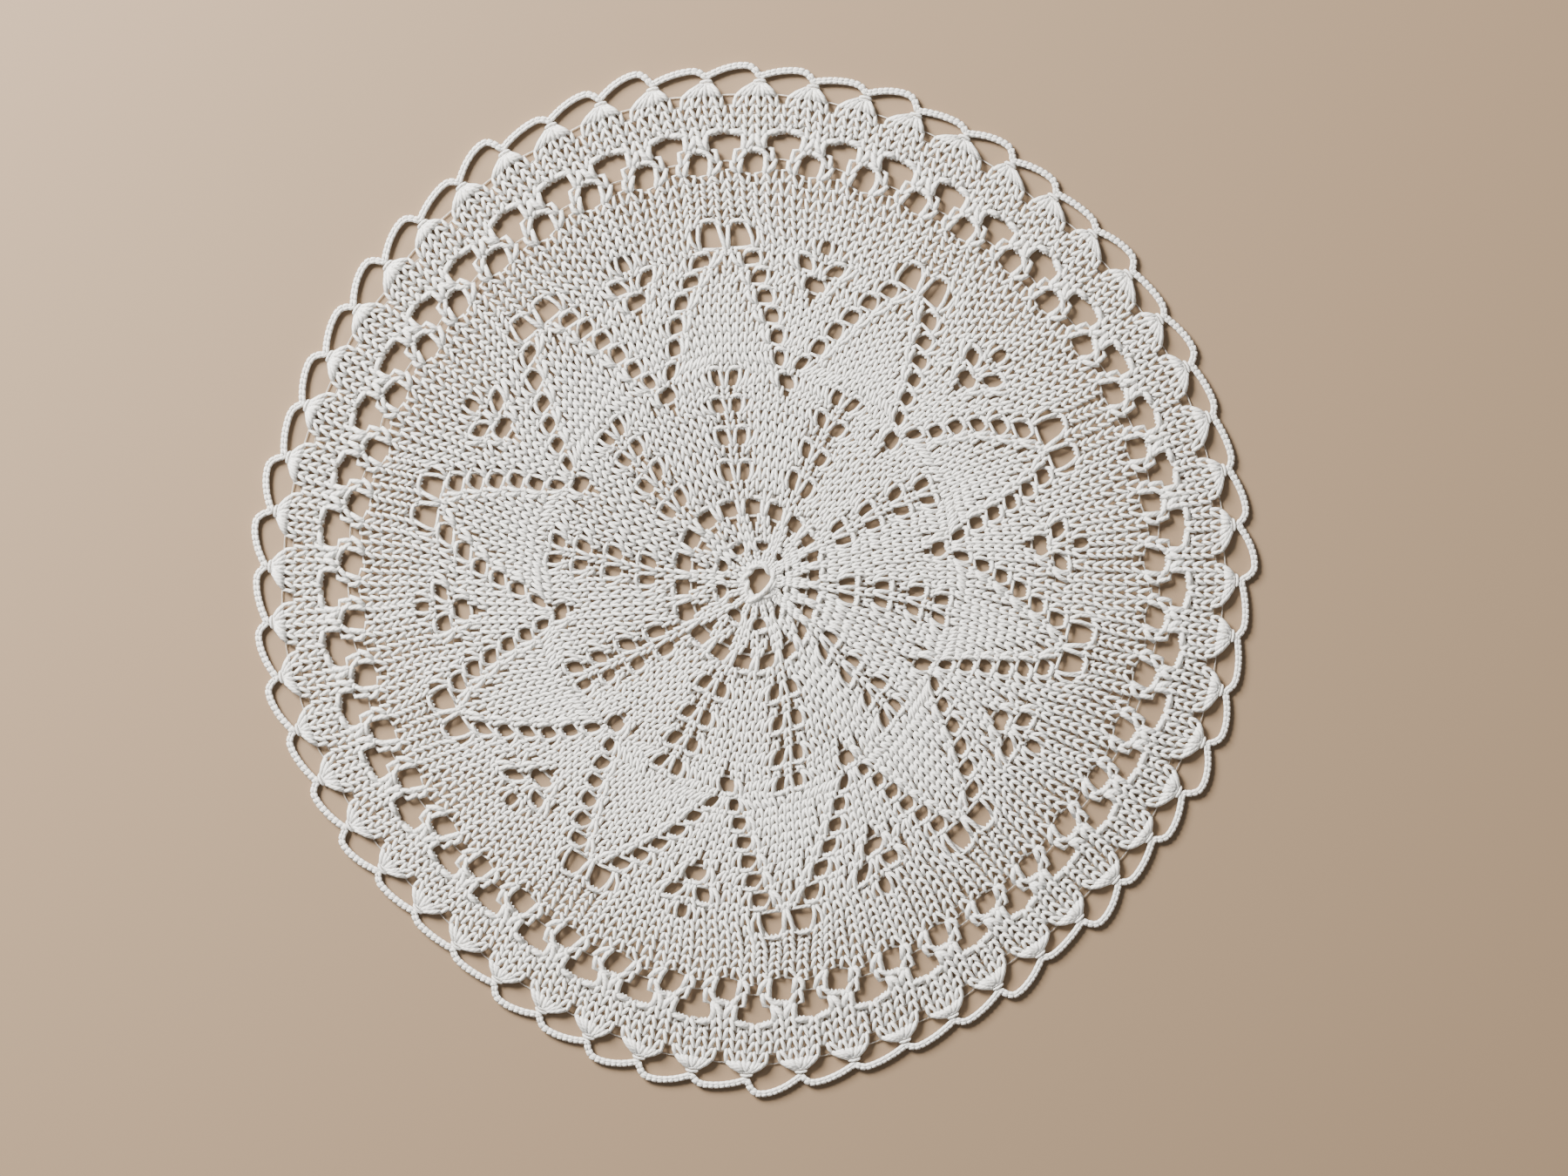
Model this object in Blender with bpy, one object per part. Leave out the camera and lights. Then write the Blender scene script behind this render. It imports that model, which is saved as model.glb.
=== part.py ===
"""Knitted lace doily: a flat round of openwork knitting and the chain crocheted round its rim.

Metres, +Z up. The doily lies flat with its underside at Z = 0 and its middle over the origin.
Angles are in degrees, clockwise from +Y as seen from above, and radii are measured on the round
before it is blocked (pulled to its slightly uneven finished shape by pin_out).
"""

import math
import random

import bmesh
import bpy
from mathutils import Vector
from mathutils.geometry import delaunay_2d_cdt

MM = 0.001

# Driving dimensions
CLOTH_THICKNESS = 1.3 * MM
RIM_RADIUS = 88.6 * MM          # middle of the chain at the top of an average loop
FAN_TIP_RADIUS = 86.1 * MM      # where a fan of stitches is drawn together
FAN_VALLEY_RADIUS = 83.1 * MM   # where two fans part
CHAIN_WIDTH = 0.96 * MM
CHAIN_HEIGHT = 1.0 * MM
CLEARANCE = 0.3 * MM            # between the chain and the fans that it joins

# Counts
LEAVES = 10
BORDER_UNITS = 45
FANS = 56

# Shape after blocking: a little taller than wide, unevenly pinned, its middle off centre
STRETCH_X = 0.986
STRETCH_Y = 1.014
RIM_WAVES = [
    # bulges round the rim, share of the radius, angle of the first bulge
    (3, 0.005, 71.0),
    (4, 0.014, 87.5),
    (5, 0.006, 41.0),
]
MIDDLE_X = 1.5 * MM
MIDDLE_Y = -1.7 * MM
LEAF_LEAN = -11.2               # turn of the middle against the leaf tips
LEAN_END_RADIUS = 57.0 * MM     # leaf tips: the columns run straight out beyond them
FIRST_LEAF = -5.4               # angle of the first leaf's tip
FIRST_EYELET = 0.3              # angle of the first small border eyelet
FIRST_FAN = 0.8
LOOP_UNEVENNESS = 0.9 * MM
SEED = 7

# Gaps of one leaf, mirrored about its middle line: radius and angle of the gap's centre,
# its width across and its length outwards
LEAF_GAPS = [
    # name, radius mm, angle deg, width mm, length mm
    ("vein_inner", 15.3, 7.9, 2.9, 3.2),
    ("vein_middle", 21.0, 4.9, 2.6, 3.7),
    ("vein_outer", 26.9, 3.7, 2.5, 3.4),
    ("edge_1", 43.1, 13.1, 2.3, 2.9),
    ("edge_2", 46.5, 10.7, 2.5, 3.0),
    ("edge_3", 50.0, 8.3, 2.5, 3.0),
    ("edge_4", 53.2, 6.0, 2.4, 2.9),
    ("edge_5", 56.2, 3.8, 2.1, 2.8),
    ("tip", 60.4, 2.4, 2.5, 4.9),
]

# Gaps that lie on one line: repeats round the doily, first angle, and the same sizes
RING_GAPS = [
    # name, repeats, first angle deg, radius mm, width mm, length mm, corners
    ("between_columns", LEAVES, FIRST_LEAF + 180.0 / LEAVES, 8.1, 2.2, 2.5, 6),
    ("notch", LEAVES, FIRST_LEAF + 180.0 / LEAVES, 35.8, 2.3, 4.0, 6),
    ("small_eyelet", BORDER_UNITS, FIRST_EYELET, 71.8, 4.2, 4.4, 8),
    ("big_eyelet", BORDER_UNITS, FIRST_EYELET + 180.0 / BORDER_UNITS, 75.4, 5.3, 5.5, 8),
]
MIDDLE_GAP_RADIUS = 1.95 * MM
MIDDLE_GAP_CORNERS = 12
LEAF_GAP_CORNERS = 6

# Half a fan's outline, from the valley to its tip: share of the half pitch left to the tip,
# share of the rise from the valley
FAN_OUTLINE = [
    # across, rise
    (1.00, 0.00),
    (0.66, 0.16),
    (0.36, 0.52),
    (0.17, 1.00),
]

# One loop of chain from fan tip to fan tip: share of the way, share of the loop's rise. A loop
# leaves its fan low and comes into the next one from outside, so it is highest past its middle.
LOOP_PATH = [
    # along, rise
    (0.00, 0.00),
    (0.14, 0.30),
    (0.30, 0.68),
    (0.46, 0.92),
    (0.62, 1.00),
    (0.78, 0.86),
    (0.91, 0.42),
]
CHAIN_SIDES = 6
COTTON = (0.80, 0.77, 0.72, 1.0)


def pin_out(radius, angle):
    """Point in the plane for a radius and angle on the round: turned by the leaves' lean, which
    dies out at their tips, then bulged towards the rim, stretched and moved off centre."""
    lean = LEAF_LEAN * max(0.0, 1.0 - radius / LEAN_END_RADIUS)
    turned = math.radians(angle + lean)
    share = radius / RIM_RADIUS
    bulge = 0.0
    for waves, height, first in RIM_WAVES:
        bulge += height * math.cos(waves * math.radians(angle - first))
    reach = radius * (1.0 + share * share * bulge)
    x = STRETCH_X * reach * math.sin(turned) + MIDDLE_X * (1.0 - share)
    y = STRETCH_Y * reach * math.cos(turned) + MIDDLE_Y * (1.0 - share)
    return Vector((x, y))


def gap_outline(radius, angle, width, length, corners):
    """Corners of an oval gap, its length along the line outwards."""
    points = []
    for corner in range(corners):
        turn = 2.0 * math.pi * (corner + 0.5) / corners
        across = 0.5 * width * math.sin(turn)
        outwards = 0.5 * length * math.cos(turn)
        points.append(pin_out(radius + outwards, angle + math.degrees(across / radius)))
    return points


def all_gaps():
    """Outlines of every gap that is cut through the cloth."""
    middle = []
    for corner in range(MIDDLE_GAP_CORNERS):
        middle.append(pin_out(MIDDLE_GAP_RADIUS, 360.0 * corner / MIDDLE_GAP_CORNERS))
    gaps = [middle]
    for _name, radius, angle, width, length in LEAF_GAPS:
        for leaf in range(LEAVES):
            tip = FIRST_LEAF + 360.0 * leaf / LEAVES
            for side in (-1, 1):
                gaps.append(gap_outline(radius * MM, tip + side * angle, width * MM, length * MM,
                                        LEAF_GAP_CORNERS))
    for _name, repeats, first, radius, width, length, corners in RING_GAPS:
        for repeat in range(repeats):
            angle = first + 360.0 * repeat / repeats
            gaps.append(gap_outline(radius * MM, angle, width * MM, length * MM, corners))
    return gaps


def fan_rim():
    """Outline of the cloth: one scallop for each fan of gathered stitches."""
    half_pitch = 180.0 / FANS
    points = []
    for fan in range(FANS):
        tip = FIRST_FAN + 2.0 * half_pitch * fan
        rising = [(-across, rise) for across, rise in FAN_OUTLINE]
        falling = [(across, rise) for across, rise in reversed(FAN_OUTLINE[1:])]
        for across, rise in rising + falling:
            radius = FAN_VALLEY_RADIUS + rise * (FAN_TIP_RADIUS - FAN_VALLEY_RADIUS)
            points.append(pin_out(radius, tip + across * half_pitch))
    return points


def chain_route():
    """Middle line of the chain round the rim: uneven loops from fan tip to fan tip."""
    chance = random.Random(SEED)
    seat = FAN_TIP_RADIUS + CLEARANCE + 0.5 * CHAIN_WIDTH
    pitch = 360.0 / FANS
    points = []
    for fan in range(FANS):
        tip = FIRST_FAN + pitch * fan
        height = RIM_RADIUS - seat + LOOP_UNEVENNESS * chance.uniform(-1.0, 1.0)
        for along, rise in LOOP_PATH:
            points.append(pin_out(seat + rise * height, tip + along * pitch))
    return points


def box_middle(points):
    """Middle of the points' bounding rectangle."""
    xs = [point.x for point in points]
    ys = [point.y for point in points]
    return Vector((0.5 * (min(xs) + max(xs)), 0.5 * (min(ys) + max(ys))))


def cotton():
    """Off-white mercerised cotton."""
    material = bpy.data.materials.new("cotton")
    material.use_nodes = True
    shader = material.node_tree.nodes["Principled BSDF"]
    shader.inputs["Base Color"].default_value = COTTON
    shader.inputs["Roughness"].default_value = 0.8
    shader.inputs["Metallic"].default_value = 0.0
    return material


def add_object(name, mesh, material):
    """Link a mesh to the scene as a named object."""
    mesh.materials.append(material)
    obj = bpy.data.objects.new(name, mesh)
    bpy.context.scene.collection.objects.link(obj)
    return obj


def cut_sheet(name, rim, gaps, thickness):
    """Flat sheet with the rim's outline and the gaps cut through it, resting on Z = 0."""
    points = []
    loops = []
    for outline in [rim] + gaps:
        # outlines run clockwise, and the triangulation takes its loops the other way round
        loops.append(list(range(len(points) + len(outline) - 1, len(points) - 1, -1)))
        points.extend(outline)
    corners, _edges, faces, _, _, sources = delaunay_2d_cdt(points, [], loops, 1, 1e-7)
    rim_loop = 0
    cloth = [face for face, source in zip(faces, sources) if source == [rim_loop]]

    sheet = bmesh.new()
    low = [sheet.verts.new((corner.x, corner.y, 0.0)) for corner in corners]
    high = [sheet.verts.new((corner.x, corner.y, thickness)) for corner in corners]
    for face in cloth:
        sheet.faces.new([high[index] for index in face])
        sheet.faces.new([low[index] for index in reversed(face)])
    edges = {}
    for face in cloth:
        for start, end in zip(face, face[1:] + face[:1]):
            edges[(start, end)] = True
    for start, end in edges:
        if (end, start) not in edges:
            sheet.faces.new([low[start], low[end], high[end], high[start]])
    bmesh.ops.delete(sheet, geom=[v for v in sheet.verts if not v.link_faces], context="VERTS")
    bmesh.ops.recalc_face_normals(sheet, faces=sheet.faces)
    mesh = bpy.data.meshes.new(name)
    sheet.to_mesh(mesh)
    sheet.free()
    return mesh


def closed_cord(name, route, width, height, sides):
    """Closed cord with a many-sided section along a closed route, lying on Z = 0."""
    cord = bmesh.new()
    rings = []
    flat = math.cos(math.pi / sides)
    for index, point in enumerate(route):
        ahead = route[(index + 1) % len(route)] - route[index - 1]
        outwards = Vector((-ahead.y, ahead.x)).normalized()
        ring = []
        for side in range(sides):
            turn = 2.0 * math.pi * (side + 0.5) / sides
            place = point + outwards * (0.5 * width * math.sin(turn))
            level = 0.5 * height * (1.0 - math.cos(turn) / flat)
            ring.append(cord.verts.new((place.x, place.y, level)))
        rings.append(ring)
    for index, ring in enumerate(rings):
        following = rings[(index + 1) % len(rings)]
        for side in range(sides):
            beside = (side + 1) % sides
            cord.faces.new([ring[side], ring[beside], following[beside], following[side]])
    bmesh.ops.recalc_face_normals(cord, faces=cord.faces)
    mesh = bpy.data.meshes.new(name)
    cord.to_mesh(mesh)
    cord.free()
    mesh.shade_smooth()
    return mesh


def main():
    for obj in list(bpy.data.objects):
        bpy.data.objects.remove(obj, do_unlink=True)
    route = chain_route()
    middle = box_middle(route)
    rim = [point - middle for point in fan_rim()]
    gaps = [[point - middle for point in gap] for gap in all_gaps()]
    route = [point - middle for point in route]
    material = cotton()
    add_object("knitted_round", cut_sheet("knitted_round", rim, gaps, CLOTH_THICKNESS), material)
    chain = closed_cord("crochet_edging", route, CHAIN_WIDTH, CHAIN_HEIGHT, CHAIN_SIDES)
    add_object("crochet_edging", chain, material)


main()
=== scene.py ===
import math
import random

import bpy
import numpy as np
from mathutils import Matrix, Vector


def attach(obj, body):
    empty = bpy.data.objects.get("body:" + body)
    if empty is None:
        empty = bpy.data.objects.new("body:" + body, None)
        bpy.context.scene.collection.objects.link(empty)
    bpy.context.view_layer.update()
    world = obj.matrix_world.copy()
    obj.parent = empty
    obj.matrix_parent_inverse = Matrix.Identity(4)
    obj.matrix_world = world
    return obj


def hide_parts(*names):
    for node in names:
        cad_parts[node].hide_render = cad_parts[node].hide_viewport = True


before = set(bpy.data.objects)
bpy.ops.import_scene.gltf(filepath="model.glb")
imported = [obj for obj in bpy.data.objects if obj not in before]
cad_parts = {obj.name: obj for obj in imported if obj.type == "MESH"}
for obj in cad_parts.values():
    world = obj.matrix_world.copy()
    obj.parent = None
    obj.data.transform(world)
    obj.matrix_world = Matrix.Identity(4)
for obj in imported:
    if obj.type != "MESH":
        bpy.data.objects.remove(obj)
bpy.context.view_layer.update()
scene = bpy.context.scene
MM = 0.001


# ---- The blocked round ---------------------------------------------------------------------
# The doily is knitted in the round from its middle, then washed and pinned out to dry. It ends
# a little taller than wide, its middle slightly off centre and its leaves leaning clockwise.
RIM_RADIUS = 88.6 * MM          # middle of the chain at the top of an average loop
STRETCH_X = 0.986
STRETCH_Y = 1.014
RIM_WAVES = [
    # bulges round the rim, share of the radius, angle of the first bulge
    (3, 0.005, 71.0),
    (4, 0.014, 87.5),
    (5, 0.006, 41.0),
]
MIDDLE_X = 1.5 * MM
MIDDLE_Y = -1.7 * MM
LEAF_LEAN = -11.2               # turn of the middle against the leaf tips, degrees
LEAN_END_RADIUS = 57.0 * MM
# the right side of the middle was pinned out less: how far it falls back by radius, both mm
SLACK_RADII = (3.0, 6.3, 9.0, 13.4, 17.0, 20.5, 26.7, 31.8, 36.3, 56.0, 63.0, 70.0)
SLACK = (0.0, 2.3, 3.8, 4.2, 5.1, 4.6, 4.5, 3.7, 3.2, 2.0, 1.0, 0.0)
# and which share of that it has by angle, degrees
SLACK_ANGLES = (-40.0, -5.0, 28.0, 50.0, 75.0, 106.0, 138.0, 160.0, 190.0)
SLACK_SHARES = (0.0, 0.15, 0.45, 0.70, 0.87, 1.0, 0.90, 0.35, 0.0)


def pin_out(radius, angle):
    """Points in the plane for radii and angles (degrees, clockwise from +Y) on the round: each
    is turned by a lean that dies out at the leaf tips, its radius falls back by the slack and
    grows by a few waves times the square of its share of the rim, and the whole is stretched
    and moved off centre."""
    lean = LEAF_LEAN * np.maximum(0.0, 1.0 - radius / LEAN_END_RADIUS)
    turned = np.radians(angle + lean)
    slack = np.interp(radius / MM, SLACK_RADII, SLACK) * MM
    from_left = (angle + 90.0) % 360.0 - 90.0
    radius = radius - slack * np.interp(from_left, SLACK_ANGLES, SLACK_SHARES)
    share = radius / RIM_RADIUS
    bulge = 0.0
    for waves, height, first in RIM_WAVES:
        bulge = bulge + height * np.cos(waves * np.radians(angle - first))
    reach = radius * (1.0 + share * share * bulge)
    x = STRETCH_X * reach * np.sin(turned) + MIDDLE_X * (1.0 - share)
    y = STRETCH_Y * reach * np.cos(turned) + MIDDLE_Y * (1.0 - share)
    return np.stack([x, y], axis=-1)


# ---- The crochet edging's route ------------------------------------------------------------
# The crocheted chain that casts the doily off runs from fan tip to fan tip in 56 uneven loops.
# Its route is worked out first, because the middle of its box is the middle of the doily.
FANS = 56
FAN_PITCH = 360.0 / FANS
FIRST_FAN = 0.8                 # degrees
FAN_TIP_RADIUS = 86.1 * MM
CHAIN_WIDTH = 0.96 * MM
CHAIN_OFF_TIP = 0.3 * MM        # from a fan's tip to the near side of the chain
CHAIN_SEAT = FAN_TIP_RADIUS + CHAIN_OFF_TIP + 0.5 * CHAIN_WIDTH
LOOP_UNEVENNESS = 0.9 * MM
LOOP_PATH = [
    # share of the way, share of the loop's rise
    (0.00, 0.00),
    (0.14, 0.28),
    (0.30, 0.60),
    (0.48, 0.86),
    (0.66, 1.00),
    (0.82, 0.94),
    (0.93, 0.50),
]
loop_chance = random.Random(7)
loop_heights = [RIM_RADIUS - CHAIN_SEAT + LOOP_UNEVENNESS * loop_chance.uniform(-1.0, 1.0)
                for _fan in range(FANS)]
loop_path = np.array(LOOP_PATH)


def loop_polar(fans, along, rise):
    """Radius and angle on the chain's route: the seat plus a share of that loop's own height,
    at a share of the way from its fan to the next."""
    heights = np.array(loop_heights)[fans % FANS]
    return CHAIN_SEAT + rise * heights, FIRST_FAN + FAN_PITCH * (fans + along)


fans_at, path_at = np.meshgrid(np.arange(FANS), np.arange(len(loop_path)), indexing="ij")
route = pin_out(*loop_polar(fans_at, loop_path[path_at, 0], loop_path[path_at, 1])).reshape(-1, 2)
doily_middle = 0.5 * (route.min(axis=0) + route.max(axis=0))


# ---- The knitting chart --------------------------------------------------------------------
# White crochet cotton, knitted on fine needles: ten leaves with a vein of paired eyelets, four
# eyelets between each two leaves, plain knitting, and a border of 45 eyelet units.

# How many loops of the round below a stitch takes: k is knit, d two together, t three together,
# y a turn of the thread over the needle, which leaves a gap under it, and o a turn whose loop
# is purled in the next round.
TAKEN = {"k": 1, "d": 2, "t": 3, "y": 0, "o": 0}
TURNS = ("y", "o")
LEAVES = 10
FIRST_LEAF = -5.4               # degrees
MIDDLE_ROUNDS = (3.0, 4.3, 5.4, 6.3)        # radii mm of twenty loops cast on, and three rounds
MIDDLE_PAIR = 9.0               # from a leaf's middle to each of its two loops there, degrees
WIDEST_MIDDLE_COLUMN = 1.05     # mm
LEAF_CHART = [
    # stitches of a leaf, place of its middle, stitches it starts on from the leaf below, open
    # round's height mm, plain rounds after it, radius mm after them, widest column mm
    ("ykko", 1.5, 0, 2.2, 3, 13.4, 1.60),
    ("oydyod", 2, 1, 2.5, 2, 19.2, 1.75),
    ("kkokokkk", 3, 0, 2.9, 2, 25.1, 1.65),
    ("kkkokokkkk", 4, 0, 2.8, 2, 30.8, 1.65),
    ("kkkkokokkkkk", 5, 0, 2.5, 2, 35.3, 1.60),
    ("ykkkkkokokkkkdo", 7, 0, 2.6, 1, 38.8, 1.75),
    ("kokkkkkkkkkkkkkok", 8, 0, 2.4, 1, 42.1, 1.80),
    ("kkodkkkkkkkkkdokk", 8, 0, 2.4, 1, 45.4, 1.90),
    ("kkkodkkkkkkkdokkk", 8, 0, 2.4, 1, 48.7, 1.95),
    ("kkkkodkkkkkdokkkk", 8, 0, 2.4, 1, 52.0, 2.00),
    ("ydkkkodkkkdokkkdo", 8, 0, 2.4, 1, 55.3, 2.10),
    ("kodkkkodkdokkkdok", 8, 0, 2.4, 1, 58.6, 2.20),
    ("kkkkkkkotokkkkkkky", 8, 0, 3.9, 6, 69.8, 2.60),
]
EYELET_UNITS = 45
STITCHES_BEFORE_UNITS = 1       # the units start this many stitches into the round
FIRST_UNIT = -15.9              # degrees
UNIT_CHART = [
    # stitches of one unit, radius mm at its columns and half a unit on, and where its stitches
    # stand, as shares of the unit from its middle
    ("dyod", 72.7, 72.4, (-0.305, -0.10, 0.10, 0.305)),
    ("kkkk", 75.2, 73.5, (-0.23, -0.08, 0.08, 0.23)),
    ("ddoyo", 76.8, 77.6, (-0.105, 0.105, 0.31, 0.50, 0.69)),
    ("kkkkk", 78.5, 79.0, (-0.10, 0.10, 0.30, 0.50, 0.70)),
    ("kkkkk", 80.3, 80.5, (-0.10, 0.10, 0.30, 0.50, 0.70)),
    ("kkkkk", 82.1, 82.1, (-0.10, 0.10, 0.30, 0.50, 0.70)),
    ("kkkkk", 83.8, 83.8, (-0.10, 0.10, 0.30, 0.50, 0.70)),
]
SMALL_EYELET_TOP = 74.0 * MM
FAN_RADII = (80.3, 82.1, 83.8)              # mm
FAN_SPREADS = (1.0, 0.965, 0.76)            # share of a fan's full width at those radii
WIDEST_BORDER_COLUMN = 2.7      # mm
# breadths of the stitches in their first round, against a plain one
BREADTH = {"k": 1.0, "d": 0.95, "t": 1.05, "y": 1.6, "o": 1.6}
PAIRED_TURN_LOSS = 0.1          # breadth that each of two turns side by side in a leaf gives up
NARROW_TURN = 0.85              # breadth of each of two turns side by side between the leaves
LATER_TURN = 0.55               # what a turn right after another one adds to their gap
PARTED = (0.42, 0.16, 0.05, 0.0, 0.0, 0.0, 0.0)     # parting left, by rounds to the next gap
GAP_REACH = 1.3                 # stitches over which the rounds bend beside a gap
GAP_SAG = 0.30 * MM             # how far the round below a gap hangs into it
SAG_SHARES = (1.0, 0.4)         # that sag in the last round before a gap and the one before it
SAG_REACH = 1.3                 # stitches over which it hangs
BESIDE_LEAF = (0.25, 0.40)      # shares of a repeat between which the gaps come down
BESIDE_LEAF_HEIGHT = 2.5        # mm, the most that a gap between the leaves is high


def is_turn(tokens):
    """Which of the stitches are turns of the thread over the needle."""
    return np.isin(tokens, TURNS)


def taken_by(tokens):
    """How many loops of the round below each stitch takes."""
    return np.array([TAKEN[token] for token in tokens])


def parting(tokens, start):
    """How far the loops of the round below part under each run of turns, in stitches: one value
    for the place before each loop. The first turn counts whole, each one after it about half."""
    widths = np.zeros(int(taken_by(tokens).sum()))
    turn = is_turn(tokens)
    run = np.where(turn & ~np.roll(turn, 1), 1.0, LATER_TURN)[turn]
    places = ((np.cumsum(taken_by(tokens)) - taken_by(tokens))[turn] + start) % len(widths)
    np.add.at(widths, places, run)
    return widths


def leaf_rounds():
    """The leaf rounds as tokens, angles, radii and widest columns. The stitches of a repeat
    share it by their breadths and the partings of the next open round, counted from the leaf's
    middle. Radii go in even steps, and near a gap they go in steps from the open round's own
    height, mixed by a bell curve of the distance to the gap in stitches."""
    pitch = 360.0 / LEAVES
    leaf_angles = FIRST_LEAF + pitch * np.arange(LEAVES)[:, None]
    rounds = []
    for radius in MIDDLE_ROUNDS:
        pair = (leaf_angles + MIDDLE_PAIR * np.array([[-1.0, 1.0]])).ravel()
        rounds.append((np.full(2 * LEAVES, "k"), pair, np.full(2 * LEAVES, radius * MM),
                       WIDEST_MIDDLE_COLUMN))
    inner = MIDDLE_ROUNDS[-1] * MM
    for row, (repeat, middle, _start, height, plain, outer, widest) in enumerate(LEAF_CHART):
        open_tokens = np.array(list(repeat))
        count = len(open_tokens)
        if row + 1 < len(LEAF_CHART):
            next_parting = parting(np.array(list(LEAF_CHART[row + 1][0])), LEAF_CHART[row + 1][2])
        else:
            next_parting = np.zeros(count)
        gap_shares = None
        for step in range(plain + 1):
            rounds_left = plain - step
            tokens = open_tokens if step == 0 else np.full(count, "k")
            breadth = np.array([BREADTH[token] for token in open_tokens])
            breadth = 1.0 + (breadth - 1.0) / (1 + step)
            if row == 1:
                # every turn is one of two side by side
                paired = 1.0 - PAIRED_TURN_LOSS / (1 + step)
                breadth = np.where(is_turn(open_tokens), paired, breadth)
            if row > 1:
                # two turns side by side between the leaves make one narrow gap
                at_edge = np.isin(np.arange(count), (0, count - 1))
                breadth = np.where(is_turn(open_tokens) & at_edge, NARROW_TURN, breadth)
            parted = next_parting * PARTED[rounds_left]
            middles = np.cumsum(breadth) - 0.5 * breadth + np.cumsum(parted)
            whole = breadth.sum() + parted.sum()
            shares = (middles - np.interp(middle, np.arange(count), middles)) / whole
            if gap_shares is None:
                gap_shares = shares[is_turn(open_tokens)]
            apart = np.abs((shares[:, None] - gap_shares[None, :] + 0.5) % 1.0 - 0.5).min(axis=1)
            nearness = np.exp(-(np.maximum(apart * count - 0.5, 0.0) / GAP_REACH) ** 2)
            even = inner + (outer * MM - inner) * (step + 1) / (plain + 1)
            # gaps between the leaves stay low
            beside = np.interp(np.abs(shares), BESIDE_LEAF, (0.0, 1.0))
            raised = inner + (height + (min(height, BESIDE_LEAF_HEIGHT) - height) * beside) * MM
            at_gap = raised + (outer * MM - raised) * step / plain
            radii = even + nearness * (at_gap - even)
            # the last round before the next gaps hangs into them
            places = (shares - (0.5 * breadth + 0.5 * parted) / whole)[next_parting > 0.0]
            if rounds_left < len(SAG_SHARES) and len(places):
                apart = np.abs((shares[:, None] - places[None, :] + 0.5) % 1.0 - 0.5).min(axis=1)
                sag = np.exp(-(apart * count / SAG_REACH) ** 2)
                radii = radii - GAP_SAG * sag * SAG_SHARES[rounds_left]
            angles = leaf_angles + pitch * shares[None, :]
            rounds.append((np.tile(tokens, LEAVES), angles.ravel(), np.tile(radii, LEAVES),
                           widest))
        inner = outer * MM
    return rounds


def gathered(angles, spread):
    """Angles drawn in towards the middle of the fan that each is in, to a share of their way."""
    fan = np.floor((angles - FIRST_FAN) / FAN_PITCH + 0.5)
    return FIRST_FAN + FAN_PITCH * fan + spread * (angles - FIRST_FAN - FAN_PITCH * fan)


def border_rounds():
    """The border rounds as tokens, angles, radii and widest columns: each stitch at its share
    of its unit, drawn in towards its fan, and the radius a cosine wave between the columns and
    half a unit on. The tops of the small eyelets have a radius of their own."""
    pitch = 360.0 / EYELET_UNITS
    rounds = []
    for tokens, at_columns, between, shares in UNIT_CHART:
        tokens = np.array(list(tokens))
        shares = np.array(shares)
        wave = 0.5 - 0.5 * np.cos(2.0 * np.pi * shares)
        radii = (at_columns + (between - at_columns) * wave) * MM
        if tokens[1] == "y":
            radii[is_turn(tokens)] = SMALL_EYELET_TOP
        angles = FIRST_UNIT + pitch * (np.arange(EYELET_UNITS)[:, None] + shares[None, :])
        angles = gathered(angles.ravel(), np.interp(at_columns, FAN_RADII, FAN_SPREADS))
        rounds.append((np.tile(tokens, EYELET_UNITS), angles, np.tile(radii, EYELET_UNITS),
                       WIDEST_BORDER_COLUMN))
    return rounds


# ---- The loops' places ---------------------------------------------------------------------
# Each loop's head is put where the chart and the pinning leave it. Loops worked together are
# drawn to one another, the fabric drifts a little, and no two loops sit quite alike.
LOOP_CHANCE = np.random.default_rng(7)
DRAWN_TOGETHER = (0.62, 0.25)   # share of the way, in the round below and the one below that
DRAWN_IN_BORDER = (0.28, 0.0)
# lengths and heights mm of the waves in which the cloth drifts
DRIFT_WAVES = [(length, height, LOOP_CHANCE.uniform(0.0, 2.0 * np.pi, 4))
               for length, height in ((24.0, 0.20), (17.0, 0.14), (13.0, 0.10), (9.0, 0.06))]
LOOP_JITTER = 0.085 * MM
DRAWN_UP = (1.2, 0.8, 0.4)      # mm by which the last plain rounds rise between small eyelets
OPEN_BORDER_ROUNDS = 3
OPEN_BORDER_FARTHER = 0.5       # how far their columns widen towards the farther neighbour


def drifted(places):
    """Places moved by a slow drift: sine waves 9 to 24 mm long, in chance directions."""
    moved = places.copy()
    for length, height, chances in DRIFT_WAVES:
        for axis in (0, 1):
            heading, phase = chances[2 * axis:2 * axis + 2]
            along = places[:, 0] * np.cos(heading) + places[:, 1] * np.sin(heading)
            moved[:, axis] += height * MM * np.sin(2.0 * np.pi * along / (length * MM) + phase)
    return moved


def nearer_neighbour(places, farther=0.0):
    """Distance from each place round the line to the nearer one of its two neighbours, moved
    by a share of the way towards the distance to the farther one."""
    steps = np.linalg.norm(np.roll(places, -1, axis=0) - places, axis=1)
    near = np.minimum(steps, np.roll(steps, 1))
    return near + farther * (np.maximum(steps, np.roll(steps, 1)) - near)


def middles_of(places, owners):
    """Middle of the loops that each owner takes: the mean of their places."""
    taken = np.maximum(np.bincount(owners), 1)
    return np.stack([np.bincount(owners, weights=places[:, axis]) / taken for axis in (0, 1)],
                    axis=-1)


rounds = leaf_rounds() + border_rounds()
# the last plain rounds are drawn up between the small eyelets
for rounds_left, lift in enumerate(DRAWN_UP):
    plain_round = len(rounds) - len(UNIT_CHART) - 1 - rounds_left
    tokens, angles, radii, widest = rounds[plain_round]
    wave = 0.5 - 0.5 * np.cos(2.0 * np.pi * (angles - FIRST_UNIT) * EYELET_UNITS / 360.0)
    rounds[plain_round] = (tokens, angles, radii + lift * MM * wave, widest)
charted = [chart_round[0] for chart_round in rounds]
widest_columns = [chart_round[3] * MM for chart_round in rounds]
first_of_border = len(rounds) - len(UNIT_CHART)
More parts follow.
